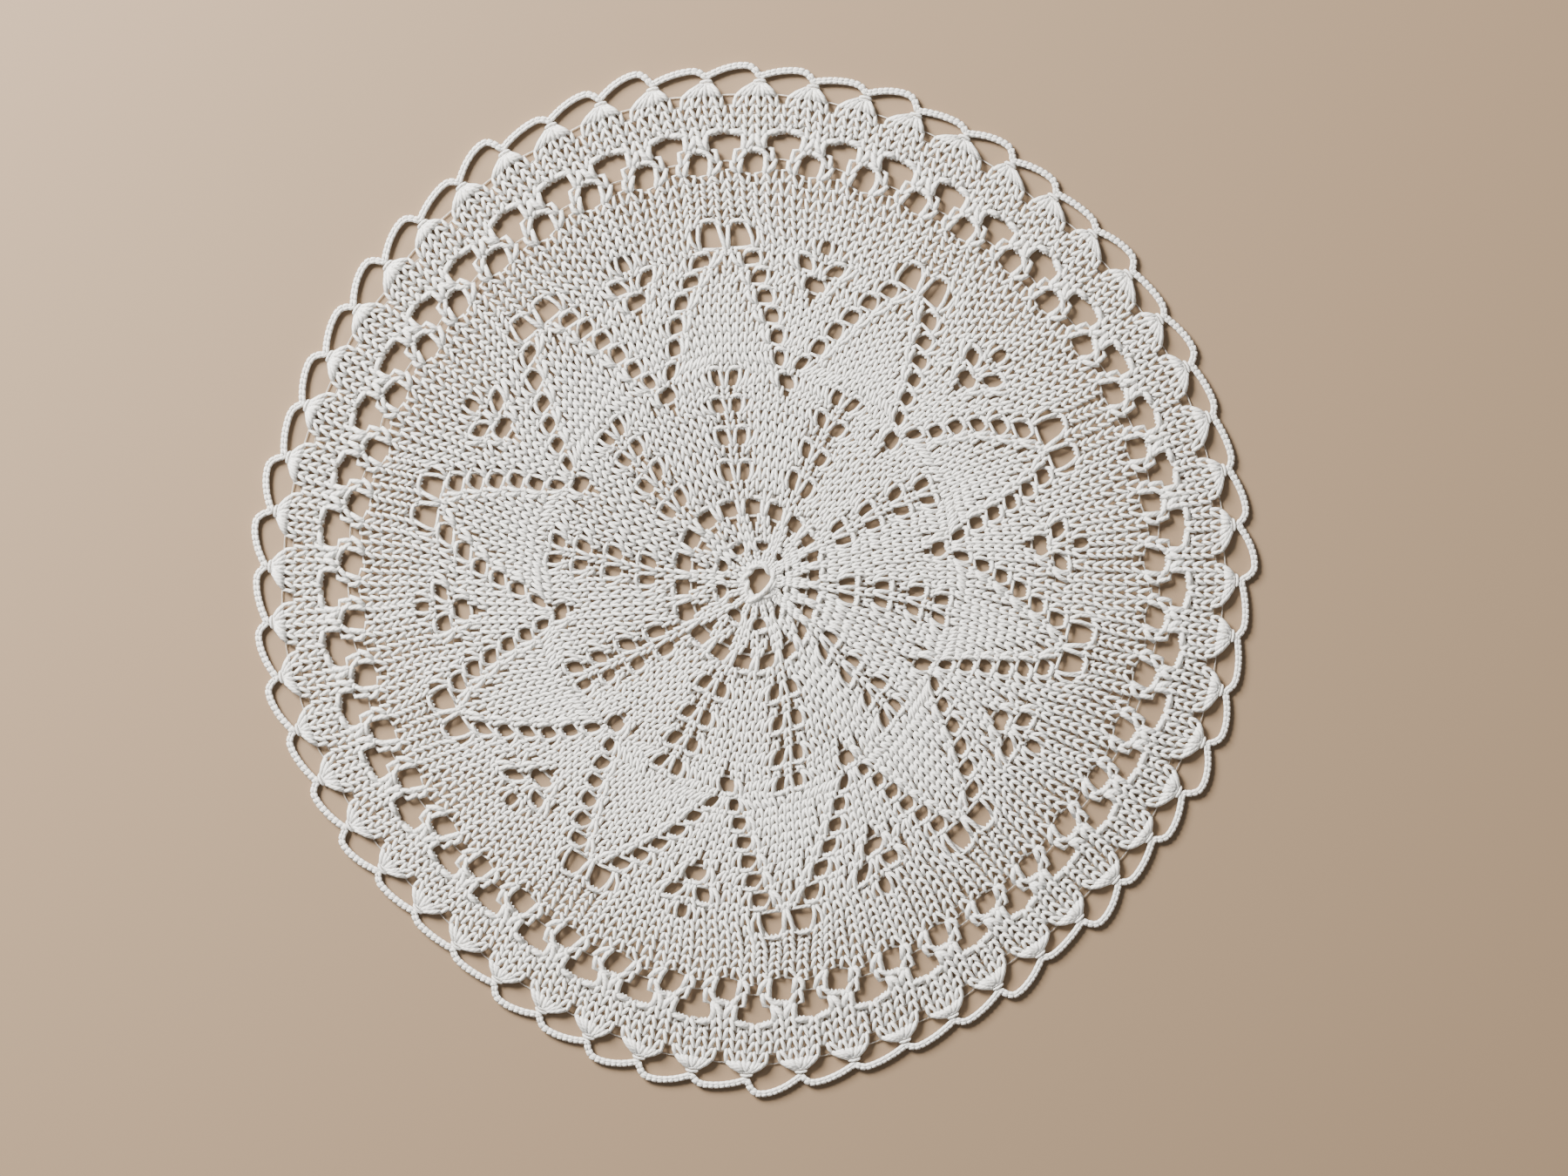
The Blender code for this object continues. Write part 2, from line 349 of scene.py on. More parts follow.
# the loop of the round below at which each round's first stitch starts
starts_at = [0] * len(rounds)
starts_at[first_of_border] = STITCHES_BEFORE_UNITS
open_round = len(MIDDLE_ROUNDS)
for _repeat, _middle, start, _height, plain, _outer, _widest in LEAF_CHART:
    starts_at[open_round] = start
    open_round += plain + 1
heads = [pin_out(radii, angles) - doily_middle for _tokens, angles, radii, _widest in rounds]
open_border = range(first_of_border, first_of_border + OPEN_BORDER_ROUNDS)
widths = [nearer_neighbour(places, OPEN_BORDER_FARTHER if index in open_border else 0.0)
          for index, places in enumerate(heads)]
# for each loop of a round, the stitch of the next round that takes it
owners = []
for index in range(1, len(rounds)):
    owner = np.repeat(np.arange(len(charted[index])), taken_by(charted[index]))
    owners.append(np.roll(owner, starts_at[index]))
for index in range(1, len(rounds)):
    owner = owners[index - 1]
    together = (taken_by(charted[index])[owner] > 1)[:, None]
    below = index - 1
    for share in DRAWN_IN_BORDER if index >= first_of_border else DRAWN_TOGETHER:
        middle = middles_of(heads[below], owner)[owner]
        heads[below] = heads[below] + np.where(together, share * (middle - heads[below]), 0.0)
        if below == 0 or not np.all(charted[below] == "k"):
            break
        below -= 1
heads = [drifted(places) + LOOP_CHANCE.normal(0.0, LOOP_JITTER, places.shape)
         for places in heads]


# ---- The thread ----------------------------------------------------------------------------
# One thread of mercerised cotton, 0.7 mm thick, makes every loop: it lies behind the cloth
# between two columns, comes up through the loop below, and turns over behind the next loop.
THREAD_CORNERS = 5
ROUND = (1.0, 1.0, 1.0)
LOOP_POINTS = 11
#               bar, foot, over, leg, shoulder, head, shoulder, leg, over, foot, bar
ACROSS = (-0.34, -0.10, -0.12, -0.27, -0.41, 0.00, 0.41, 0.27, 0.12, 0.10, 0.34)
ALONG = (0.20, -0.34, -0.05, 0.42, 0.92, 1.12, 0.92, 0.42, -0.05, -0.34, 0.20)
LEGS = (2, 3, 4, 6, 7, 8)
LEFT_SHOULDER = 4
RIGHT_SHOULDER = 6
TURN_LEG = ((1, 0.25), (2, 0.5), (3, 0.75))         # points of a turn's leg, shares of its way
LEVEL_MM = (0.32, 0.50, 0.98, 1.08, 0.88, 0.42, 0.88, 1.08, 0.98, 0.50, 0.32)
# half thicknesses; a plain loop is thin where it lies hidden in its neighbours
THICK_MM = (0.09, 0.12, 0.335, 0.37, 0.33, 0.11, 0.33, 0.37, 0.335, 0.12, 0.09)
# and these are for turns and purled loops, which show their whole thread
SHOWN_THICK_MM = (0.21, 0.25, 0.355, 0.37, 0.345, 0.23, 0.345, 0.37, 0.355, 0.25, 0.21)
PURLED_LEVEL_MM = (0.98, 0.86, 0.42, 0.40, 0.60, 0.42, 0.60, 0.40, 0.42, 0.86, 0.98)
TURN_LEVEL_MM = (0.34, 0.32, 0.32, 0.40, 0.55, 0.48, 0.55, 0.40, 0.32, 0.32, 0.34)
BUMP_LEVEL_MM = (0.98, 1.08, 0.98)
BUMP_THICK_MM = (0.40, 0.42, 0.40)
BUMP_RISE = 0.24 * MM           # how far a purled turn's shoulders stand over its head
FOOT_ON_TURN_THICK = 0.36 * MM
FOOT_ON_TURN_LENGTH = 0.5       # a foot round a single thread is this much of a common one
BAR_AT_GAP_THICK = 0.325 * MM   # a bar that shows as the edge of a gap is two strands thick
BAR_AT_GAP = 0.80               # where it lies, as a share of the reach
LONGEST_REACH = 1.75 * MM       # a stretched loop's foot and head stay as long as a common one's
FOOT_ENDS = 0.3                 # share of the height below which a point belongs to the foot
HEAD_STARTS = 0.6               # and above which it belongs to the head
WIDER_FOOT = 0.22               # extra width of a foot through several loops
SEVERAL_BREADTH = 0.84          # breadth of a loop through several others
SEVERAL_LEVEL = 0.10 * MM       # how much higher it lies
SEVERAL_THICK = 0.08 * MM       # and how much thicker it is
TURN_RIM = 0.42 * MM            # from a column's middle line to a turn's leg beside its foot
TURN_THIN = 0.9                 # a turn is stretched thinner near its ends
BOWED = 0.26 * MM               # how far the legs beside a gap bow away from it
BOWED_FROM = 2.3 * MM           # height over which a leg bows more
BOWED_MOST = 1.6
BOW_START = 0.1                 # how far below its foot a leg starts to bow
TUCKED = 0.50 * MM              # how far a turn's legs hide under its neighbours' legs
TURN_DIP = 0.22 * MM            # how far the thread dips between two turns
DIP_LEVEL = 0.5 * MM
END_LAP = 0.1 * MM              # how far the ends beside a turn lie past each other


def unit(vectors):
    """Vectors of length one along the last axis."""
    return vectors / np.maximum(np.linalg.norm(vectors, axis=-1, keepdims=True), 1e-9)


def along_round(places):
    """Direction along the round at each place."""
    return unit(np.roll(places, -1, axis=0) - np.roll(places, 1, axis=0))


def knit_round(below, below_wide, head, wide, tokens, below_tokens, start_at, gap_above,
               across=ACROSS, slender=1.0, bend=1.0):
    """Points (loops, 11, 3) and half thicknesses of one round of thread. A loop runs from the
    bar between two columns to its foot in the loops that it takes, up a leg to its shoulder,
    over its head and back down, at shares of the column's width and of its height. The way
    sideways goes with the height's share to the power of the bend. A turn has no foot: its
    legs climb the rims of the gap from its neighbours' feet. Where the next round leaves a gap
    above, the bar between two columns is drawn up to its edge."""
    count = len(head)
    taken = taken_by(tokens)
    turn = is_turn(tokens)
    several = taken > 1
    bumped = tokens == "o"
    start = (np.cumsum(taken) - taken + start_at) % len(below)
    foot = np.zeros_like(head)
    foot_side = along_round(below)[start]
    for step in range(3):
        foot += np.where((step < taken)[:, None], below[(start + step) % len(below)], 0.0)
    foot = foot / np.maximum(taken, 1)[:, None]
    between = 0.5 * (below[start] + below[(start - 1) % len(below)])
    foot = np.where(turn[:, None], between, foot)
    head_side = along_round(head)
    foot_wide = below_wide[start] * (1.0 + WIDER_FOOT * several)
    way = head - foot
    height = np.linalg.norm(way, axis=1)[:, None]
    upward = way / height
    outward = np.stack([-foot_side[:, 1], foot_side[:, 0]], axis=-1)
    sideways = way - outward * (way * outward).sum(axis=1, keepdims=True)
    reach = np.minimum(height, LONGEST_REACH)
    # whose loops are purled: those on an "o" of the round below
    purled = (below_tokens[start] == "o") & (taken == 1)
    on_turn = is_turn(below_tokens[start]) & (taken == 1)
    flat = np.zeros((count, LOOP_POINTS, 2))
    level = np.tile(np.array(LEVEL_MM) * MM, (count, 1))
    thick = np.tile(slender * np.array(THICK_MM) * MM, (count, 1))
    for point in range(LOOP_POINTS):
        share = ALONG[point]
        side = unit(foot_side * (1.0 - share) + head_side * share)
        breadth = (foot_wide * (1.0 - share) + wide * share)[:, None]
        if point in (0, LOOP_POINTS - 1):
            near = gap_above if point == 0 else np.roll(gap_above, -1)
            along = reach * np.where(near, BAR_AT_GAP, share)[:, None]
        elif share < FOOT_ENDS:
            along = reach * share * np.where(on_turn, FOOT_ON_TURN_LENGTH, 1.0)[:, None]
        elif share > HEAD_STARTS:
            along = height + reach * (share - 1.0)
        else:
            along = height * share
        breadth = breadth * np.where(several, SEVERAL_BREADTH, 1.0)[:, None]
        if point in (LEFT_SHOULDER, RIGHT_SHOULDER):
            along = along + np.where(bumped, BUMP_RISE, 0.0)[:, None]
        late = sideways * (max(share, 0.0) ** bend - max(share, 0.0))
        flat[:, point] = foot + upward * along + late + side * breadth * across[point]
    # legs beside a gap bow away from it
    bow = BOWED * (np.roll(turn, 1).astype(float) - np.roll(turn, -1)) * ~turn
    bow *= np.clip(height[:, 0] / BOWED_FROM, 1.0, BOWED_MOST)
    for point in LEGS:
        swell = np.sin(np.pi * min(ALONG[point] + BOW_START, 1.0))
        flat[:, point] += head_side * (bow * swell)[:, None]
    # a turn's ends: on the rims of its neighbours' feet, or in the dip between two turns
    left_turn = np.roll(turn, 1)
    right_turn = np.roll(turn, -1)
    left_rim = np.roll(foot + foot_side * TURN_RIM, 1, axis=0)
    right_rim = np.roll(foot - foot_side * TURN_RIM, -1, axis=0)
    left_dip = 0.5 * (head + np.roll(head, 1, axis=0)) - upward * TURN_DIP
    right_dip = 0.5 * (head + np.roll(head, -1, axis=0)) - upward * TURN_DIP
    last = LOOP_POINTS - 1
    flat[turn, 0] = np.where(left_turn[:, None], left_dip + head_side * END_LAP, left_rim)[turn]
    flat[turn, last] = np.where(right_turn[:, None], right_dip - head_side * END_LAP,
                                right_rim)[turn]
    opens = ~turn & right_turn
    closes = ~turn & left_turn
    flat[closes, 0] = (foot - foot_side * TURN_RIM)[closes] - upward[closes] * END_LAP
    flat[opens, last] = (foot + foot_side * TURN_RIM)[opens] - upward[opens] * END_LAP
    # a turn's legs
    for point, share in TURN_LEG:
        swell = TUCKED * np.sin(np.pi * share)
        leg = flat[:, 0] + (flat[:, LEFT_SHOULDER] - flat[:, 0]) * share
        leg -= head_side * (swell * ~left_turn)[:, None]
        flat[turn, point] = leg[turn]
        leg = flat[:, last] + (flat[:, RIGHT_SHOULDER] - flat[:, last]) * share
        leg += head_side * (swell * ~right_turn)[:, None]
        flat[turn, last - point] = leg[turn]
    level[turn] = np.array(TURN_LEVEL_MM) * MM
    level[purled] = np.array(PURLED_LEVEL_MM) * MM
    level[np.roll(purled, 1), 0] = PURLED_LEVEL_MM[0] * MM
    level[np.roll(purled, -1), last] = PURLED_LEVEL_MM[0] * MM
    thick[turn | purled] = slender * np.array(SHOWN_THICK_MM) * MM
    thick[np.roll(purled, 1), 0] = slender * SHOWN_THICK_MM[0] * MM
    thick[np.roll(purled, -1), last] = slender * SHOWN_THICK_MM[0] * MM
    level[turn & left_turn, 0] = DIP_LEVEL
    level[turn & right_turn, last] = DIP_LEVEL
    level[several, 1:last] += SEVERAL_LEVEL
    thick[several, 1:last] += SEVERAL_THICK * slender
    head_points = slice(LEFT_SHOULDER, RIGHT_SHOULDER + 1)
    level[bumped, head_points] = np.array(BUMP_LEVEL_MM) * MM
    thick[bumped, head_points] = slender * np.array(BUMP_THICK_MM) * MM
    thick[turn, :4] *= TURN_THIN
    thick[turn, last - 3:] *= TURN_THIN
    for point in (1, last - 1):
        thick[on_turn, point] = slender * FOOT_ON_TURN_THICK
    thick[gap_above, 0] = slender * BAR_AT_GAP_THICK
    thick[np.roll(gap_above, -1), last] = slender * BAR_AT_GAP_THICK
    points = np.concatenate([flat, level[:, :, None]], axis=2)
    return points, thick


def tube(points, thick, closed=False, section=ROUND):
    """Tube round a line of points: at each, a ring of evenly turned corners square to the
    line's run, and the length run so far in millimetres. The section gives the ring's half
    breadth and its reach up and down, as shares of half the thickness."""
    if closed:
        ahead = np.roll(points, -1, axis=0) - np.roll(points, 1, axis=0)
    else:
        ahead = np.gradient(points, axis=0)
    ahead = unit(ahead)
    across = unit(np.cross(np.array([0.0, 0.0, 1.0]), ahead))
    above = np.cross(ahead, across)
    turn = 2.0 * np.pi * np.arange(THREAD_CORNERS) / THREAD_CORNERS + 0.5 * np.pi
    breadth, up, down = section
    aside = breadth * np.cos(turn)
    rise = np.sin(turn)
    rise *= np.where(rise < 0.0, down, up)
    ring = across[:, None, :] * aside[:, None] + above[:, None, :] * rise[:, None]
    ring = points[:, None, :] + ring * thick[:, None, None]
    steps = np.linalg.norm(np.diff(points, axis=0), axis=1)
    run = np.concatenate([[0.0], np.cumsum(steps)]) / MM
    return ring, run


def thread_mesh(name, lines, closed=False, section=ROUND):
    """Mesh of tubes along lines of (points, half thicknesses), with a UV map whose U is the
    length along the thread and whose V is the turn round it; the ends are closed."""
    corners = np.arange(THREAD_CORNERS)
    next_corners = (corners + 1) % THREAD_CORNERS
    vertices, quads, quad_uvs, ends = [], [], [], []
    base = 0
    for points, thick in lines:
        ring, run = tube(points, thick, closed, section)
        count = len(points)
        rows = np.arange(count if closed else count - 1)
        next_rows = (rows + 1) % count
        quad = np.stack([
            rows[:, None] * THREAD_CORNERS + corners,
            rows[:, None] * THREAD_CORNERS + next_corners,
            next_rows[:, None] * THREAD_CORNERS + next_corners,
            next_rows[:, None] * THREAD_CORNERS + corners,
        ], axis=-1)
        quads.append(base + quad.reshape(-1, 4))
        lengths = np.append(run, run[-1] + 1.0) if closed else run
        low, high = np.broadcast_arrays(corners / THREAD_CORNERS, lengths[rows][:, None])
        next_high = np.broadcast_to(lengths[rows + 1][:, None], high.shape)
        next_low = low + 1.0 / THREAD_CORNERS
        quad_uv = np.stack([
            np.stack([high, low], axis=-1),
            np.stack([high, next_low], axis=-1),
            np.stack([next_high, next_low], axis=-1),
            np.stack([next_high, low], axis=-1),
        ], axis=2)
        quad_uvs.append(quad_uv.reshape(-1, 2))
        if not closed:
            ends.append(base + corners[::-1])
            ends.append(base + (count - 1) * THREAD_CORNERS + corners)
        vertices.append(ring.reshape(-1, 3))
        base += count * THREAD_CORNERS
    vertices = np.concatenate(vertices)
    quads = np.concatenate(quads)
    loops = np.concatenate([quads.ravel()] + ends)
    sizes = np.concatenate([np.full(len(quads), 4), np.full(len(ends), THREAD_CORNERS)])
    starts = np.cumsum(sizes) - sizes
    uvs = np.concatenate(quad_uvs + [np.zeros((len(ends) * THREAD_CORNERS, 2))])
    mesh = bpy.data.meshes.new(name)
    mesh.vertices.add(len(vertices))
    mesh.vertices.foreach_set("co", vertices.ravel())
    mesh.loops.add(len(loops))
    mesh.loops.foreach_set("vertex_index", loops.astype(np.int32))
    mesh.polygons.add(len(sizes))
    mesh.polygons.foreach_set("loop_start", starts.astype(np.int32))
    mesh.polygons.foreach_set("use_smooth", np.ones(len(sizes), dtype=bool))
    mesh.update(calc_edges=True)
    layer = mesh.uv_layers.new(name="thread")
    layer.data.foreach_set("uv", uvs.ravel())
    mesh.validate()
    piece = bpy.data.objects.new(name, mesh)
    scene.collection.objects.link(piece)
    return piece


# ---- The knitted cloth ---------------------------------------------------------------------
# The cotton cloth: all rounds but the last, about six and a half thousand loops pressed flat
# on one another. It is made in five parts of two leaves and nine eyelet units each, and each
# part's thread runs on into the next.
PARTS = 5
PRESSED = (1.07, 0.84, 0.05)
CAST_ON_SIZE = 0.86             # the cast-on loops' feet, as a share of the first round
# narrow columns near the middle are drawn out thin: share for no width, more a mm, and limits
SLENDER_LEAST = 0.60
SLENDER_GROWTH = 0.20
SLENDER_LIMITS = (0.86, 0.98)
BORDER_SLENDER = (1.15, 1.25, 1.3, 1.2, 1.05, 1.0, 1.0)
part_lines = [[] for _part in range(PARTS)]
centre = heads[0].mean(axis=0)
cast_on = centre + (heads[0] - centre) * CAST_ON_SIZE
previous, previous_wide, previous_tokens = cast_on, nearer_neighbour(cast_on), charted[0]
slenderness = SLENDER_LEAST + SLENDER_GROWTH * np.array(widest_columns) / MM
slenderness = np.clip(slenderness, *SLENDER_LIMITS)
slenderness[first_of_border:] = BORDER_SLENDER
for index, (head, tokens) in enumerate(zip(heads, charted)):
    gap_above = np.zeros(len(head), dtype=bool)
    if index < first_of_border:
        above = charted[index + 1]
        places = (np.cumsum(taken_by(above)) - taken_by(above))[is_turn(above)]
        gap_above[(places + starts_at[index + 1]) % len(head)] = True
    wide = np.minimum(widths[index], widest_columns[index])
    points, thick = knit_round(previous, previous_wide, head, wide, tokens, previous_tokens,
                               starts_at[index], gap_above, slender=slenderness[index])
    count = len(head) // PARTS
    for part in range(PARTS):
        chosen = np.arange(part * count, (part + 1) * count)
        line = points[chosen].reshape(-1, 3)
        after = points[(part + 1) * count % len(head), :1]
        line_thick = np.append(thick[chosen].ravel(), thick[0, 0])
        part_lines[part].append((np.concatenate([line, after]), line_thick))
    previous, previous_wide, previous_tokens = head, wide, tokens
knitting = []
for part in range(PARTS):
    piece = thread_mesh(f"knitting_{part + 1}", part_lines[part], section=PRESSED)
    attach(piece, "root")
    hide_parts("knitted_round")
    knitting.append(piece)


# ---- The cast-on ring ----------------------------------------------------------------------
# The first loops hang on a ring of two strands of the same cotton wound round each other. The
# strands' end is a short tail that lies over the ring and the first loops.
RING_RADIUS = 2.7 * MM
RING_OVAL = 0.22 * MM
RING_UNEVENNESS = 0.12 * MM
RING_STRANDS = 2
RING_WINDS = 4
RING_WIND_RADIUS = 0.33 * MM
RING_LEVEL = 0.88 * MM
RING_POINTS = 72
STRAND_THICK = 0.42 * MM        # half a thickness
ring_turn = 2.0 * np.pi * np.arange(RING_POINTS) / RING_POINTS
ring_lines = []
for strand in range(RING_STRANDS):
    wind = RING_WINDS * ring_turn + np.pi * strand
    reach = (RING_RADIUS + RING_OVAL * np.cos(2.0 * ring_turn)
             + RING_UNEVENNESS * np.cos(5.0 * ring_turn) + RING_WIND_RADIUS * np.cos(wind))
    ring_points = np.stack([centre[0] + reach * np.sin(ring_turn),
                            centre[1] + reach * np.cos(ring_turn),
                            RING_LEVEL + RING_WIND_RADIUS * np.sin(wind)], axis=1)
    ring_lines.append((ring_points, np.full(RING_POINTS, STRAND_THICK)))
ring_piece = thread_mesh("cast_on_ring", ring_lines, closed=True)
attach(ring_piece, "root")

TAIL_PATH_MM = [
    # from the ring's middle
    (2.5, 0.4, 0.9),
    (1.9, -0.5, 1.35),
    (1.3, -1.3, 1.5),
    (0.5, -2.1, 1.55),
    (-0.4, -2.8, 1.5),
    (-1.3, -3.3, 1.3),
    (-2.2, -3.6, 0.9),
]
TAIL_POINTS = 25
TAIL_THICK = 0.45 * MM          # half a thickness
tail_corners = np.array(TAIL_PATH_MM) * MM
tail_places = np.linspace(0.0, len(tail_corners) - 1.0, TAIL_POINTS)
tail_points = np.stack([
    np.interp(tail_places, np.arange(len(tail_corners)), tail_corners[:, axis])
    for axis in range(3)
], axis=1)
tail_points[:, :2] += centre
tail_piece = thread_mesh("cast_on_tail", [(tail_points, np.full(TAIL_POINTS, TAIL_THICK))])
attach(tail_piece, "root")


# ---- The fans ------------------------------------------------------------------------------
# The last round of the same cotton. The chain catches four loops at a time, so its long loops
# are gathered into 56 small fans, each with its neck at a tip of the rim.
FAN_NECK_RADIUS = 85.5 * MM
FAN_NECK_SPREAD = 0.20          # share of the loops' spread that is left at a fan's neck
FAN_ACROSS = (-0.34, -0.24, -0.26, -0.25, -0.22, 0.00, 0.22, 0.25, 0.26, 0.24, 0.34)
FAN_SLENDER = 1.25
FAN_BEND = 1.2
last_angles = rounds[-1][1]
fan_of = np.floor((last_angles - FIRST_FAN) / FAN_PITCH + 0.5)
fan_share = (last_angles - FIRST_FAN) / FAN_PITCH - fan_of
neck_angles = FIRST_FAN + FAN_PITCH * (fan_of + FAN_NECK_SPREAD * fan_share)
necks = pin_out(np.full(len(neck_angles), FAN_NECK_RADIUS), neck_angles) - doily_middle
no_gap = np.zeros(len(necks), dtype=bool)
points, thick = knit_round(heads[-1], wide, necks, wide, np.full(len(necks), "k"), charted[-1],
                           0, no_gap, across=FAN_ACROSS, slender=FAN_SLENDER, bend=FAN_BEND)
fans_piece = thread_mesh("gathered_fans", [(points.reshape(-1, 3), thick.ravel())])
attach(fans_piece, "root")


# ---- The knots at the fans' necks ----------------------------------------------------------
# The chain's cotton is drawn through the four loops of each fan in one tight crochet stitch.
# It lies round the fan's neck as two turns of thread side by side.
KNOT_RADII_MM = (85.35, 85.95)
KNOT_HALF_WIDTH = 1.0 * MM
KNOT_HALF_HEIGHT = 0.40 * MM
KNOT_SLANT = 0.18 * MM          # how far a turn's upper side lies outside its lower side
KNOT_LEVEL = 0.64 * MM
KNOT_THICK = 0.25 * MM          # half a thickness
KNOT_POINTS = 12
wrap_turn = 2.0 * np.pi * np.arange(KNOT_POINTS) / KNOT_POINTS
fan_angles = FIRST_FAN + FAN_PITCH * np.arange(FANS)
wraps = []
for radius in KNOT_RADII_MM:
    necks_at = pin_out(np.full(FANS, radius * MM), fan_angles) - doily_middle
    past_necks = pin_out(np.full(FANS, (radius + 1.0) * MM), fan_angles) - doily_middle
    outward = unit(past_necks - necks_at)
    sideways = np.stack([outward[:, 1], -outward[:, 0]], axis=-1)
    for fan in range(FANS):
        flat_ring = (necks_at[fan]
                     + sideways[fan] * (KNOT_HALF_WIDTH * np.cos(wrap_turn))[:, None]
                     + outward[fan] * (KNOT_SLANT * np.sin(wrap_turn))[:, None])
        rise = KNOT_LEVEL + KNOT_HALF_HEIGHT * np.sin(wrap_turn)
        wraps.append((np.concatenate([flat_ring, rise[:, None]], axis=1),
                      np.full(KNOT_POINTS, KNOT_THICK)))
knots = thread_mesh("fan_knots", wraps, closed=True)
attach(knots, "root")


# ---- The crochet edging --------------------------------------------------------------------
# One chain of the same cotton, crocheted with a fine hook: eleven links from each fan's knot to
# the next, 616 round the rim. Each link is an oval loop whose tip lies in the link after it.
LINKS = 616
STEPS_PER_LINK = 20
ROUTE_PIECES = 12               # points on the curve between two corners of the route
AHEAD_STEPS = 4                 # steps either way over which the route's direction is taken
#             tail, side, side, side, tip, side, side, side: shares of a link's length
LINK_ALONG = (-0.25, 0.05, 0.45, 0.95, 1.28, 0.95, 0.45, 0.05)
LINK_ACROSS_MM = (0.0, -0.14, -0.23, -0.25, 0.0, 0.25, 0.23, 0.14)
LINK_LEVEL_MM = (0.33, 0.55, 0.74, 0.66, 0.45, 0.66, 0.74, 0.55)
LINK_THICK = 0.40 * MM          # half a thickness


def closed_route(corners, count):
    """Evenly spaced points on the smooth closed curve through the corners: between two corners
    it is the cubic that passes through both, and is parallel at each to the line between that
    corner's two neighbours. Then come evenly spaced shares of its length."""
    before, after, beyond = (np.roll(corners, shift, axis=0) for shift in (1, -1, -2))
    share = np.linspace(0.0, 1.0, ROUTE_PIECES, endpoint=False)[None, :, None]
    a = 2.0 * corners[:, None]
    b = (after - before)[:, None]
    c = (2.0 * before - 5.0 * corners + 4.0 * after - beyond)[:, None]
    d = (3.0 * corners - before - 3.0 * after + beyond)[:, None]
    fine = 0.5 * (a + b * share + c * share ** 2 + d * share ** 3)
    fine = fine.reshape(-1, 2)
    fine = np.concatenate([fine, fine[:1]])
    run = np.concatenate([[0.0], np.cumsum(np.linalg.norm(np.diff(fine, axis=0), axis=1))])
    places = run[-1] * np.arange(count) / count
    return np.stack([np.interp(places, run, fine[:, axis]) for axis in (0, 1)], axis=-1)


fine_route = closed_route(route - doily_middle, LINKS * STEPS_PER_LINK)
ahead = unit(np.roll(fine_route, -AHEAD_STEPS, axis=0) - np.roll(fine_route, AHEAD_STEPS, axis=0))
outward = np.stack([-ahead[:, 1], ahead[:, 0]], axis=-1)
link = np.arange(LINKS)[:, None]
at = np.round((link + np.array(LINK_ALONG)[None, :]) * STEPS_PER_LINK).astype(int)
at = at % len(fine_route)
flat = fine_route[at] + outward[at] * (np.array(LINK_ACROSS_MM) * MM)[None, :, None]
level = np.tile(np.array(LINK_LEVEL_MM) * MM, (LINKS, 1))
chain_points = np.concatenate([flat, level[:, :, None]], axis=2).reshape(-1, 3)
chain = thread_mesh("chain_edging", [(chain_points, np.full(len(chain_points), LINK_THICK))],
                    closed=True)
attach(chain, "root")
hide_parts("crochet_edging")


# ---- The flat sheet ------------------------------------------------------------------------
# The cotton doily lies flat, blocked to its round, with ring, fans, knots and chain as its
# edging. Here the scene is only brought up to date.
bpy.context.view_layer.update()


# ---- Cotton --------------------------------------------------------------------------------
# White mercerised crochet cotton of three plies twisted together, with a soft sheen. The twist
# follows the thread's own UV map, and painted shade darkens the grooves between the plies.
# Painted shade also makes a thread darker and warmer the lower it lies in the cloth.
PLIES = 3
PLY_LENGTH = 0.85               # mm of thread from one ply's crossing of a side to the next
TWIST_DEPTH = 0.08 * MM
TWIST_STRENGTH = 0.6
# the groove colour is painted shade between the plies, the ply colour the cotton's own
GROOVE_SHADE_COLOUR = (0.70, 0.665, 0.615, 1.0)
PLY_COLOUR = (0.94, 0.92, 0.88, 1.0)
PLY_COLOUR_FROM = 0.45          # share of a ply's rise from which it has its full colour
# painted shade, warm as if lit by the table, for threads low in the cloth; none at the top
LOW_THREAD_SHADE = (0.56, 0.49, 0.43, 1.0)
TOP_UNSHADED = (1.0, 1.0, 1.0, 1.0)
HOLLOW_LEVEL = 0.25 * MM
TOP_LEVEL = 0.9 * MM
cotton = bpy.data.materials.new("mercerised_cotton")
cotton.use_nodes = True
tree = cotton.node_tree
tree.nodes.clear()


def node(kind, **values):
    """A new node in the cotton's tree with some of its settings."""
    made = tree.nodes.new(kind)
    for key, value in values.items():
        setattr(made, key, value)
    return made


output = node("ShaderNodeOutputMaterial")
shader = node("ShaderNodeBsdfPrincipled")
shader.inputs["Roughness"].default_value = 0.55
shader.inputs["Sheen Weight"].default_value = 0.25
shader.inputs["Sheen Roughness"].default_value = 0.4
tree.links.new(shader.outputs[0], output.inputs[0])

# a ply's rise is the absolute sine of half a turn for each ply round the thread and along it
thread_uv = node("ShaderNodeUVMap", uv_map="thread")
thread_parts = node("ShaderNodeSeparateXYZ")
tree.links.new(thread_uv.outputs[0], thread_parts.inputs[0])
along_thread = node("ShaderNodeMath", operation="DIVIDE")
along_thread.inputs[1].default_value = PLY_LENGTH
tree.links.new(thread_parts.outputs[0], along_thread.inputs[0])
round_thread = node("ShaderNodeMath", operation="MULTIPLY_ADD")
round_thread.inputs[1].default_value = PLIES
tree.links.new(thread_parts.outputs[1], round_thread.inputs[0])
tree.links.new(along_thread.outputs[0], round_thread.inputs[2])
half_turns = node("ShaderNodeMath", operation="MULTIPLY")
half_turns.inputs[1].default_value = math.pi
tree.links.new(round_thread.outputs[0], half_turns.inputs[0])
twist = node("ShaderNodeMath", operation="SINE")
tree.links.new(half_turns.outputs[0], twist.inputs[0])
ply = node("ShaderNodeMath", operation="ABSOLUTE")
tree.links.new(twist.outputs[0], ply.inputs[0])
twist_bump = node("ShaderNodeBump")
twist_bump.inputs["Strength"].default_value = TWIST_STRENGTH
twist_bump.inputs["Distance"].default_value = TWIST_DEPTH
tree.links.new(ply.outputs[0], twist_bump.inputs["Height"])
tree.links.new(twist_bump.outputs[0], shader.inputs["Normal"])
# painted shade: the grooves between the plies get a darker colour than the plies' tops
ply_and_groove_shade = node("ShaderNodeValToRGB")
ply_and_groove_shade.color_ramp.elements[0].color = GROOVE_SHADE_COLOUR
ply_and_groove_shade.color_ramp.elements[1].color = PLY_COLOUR
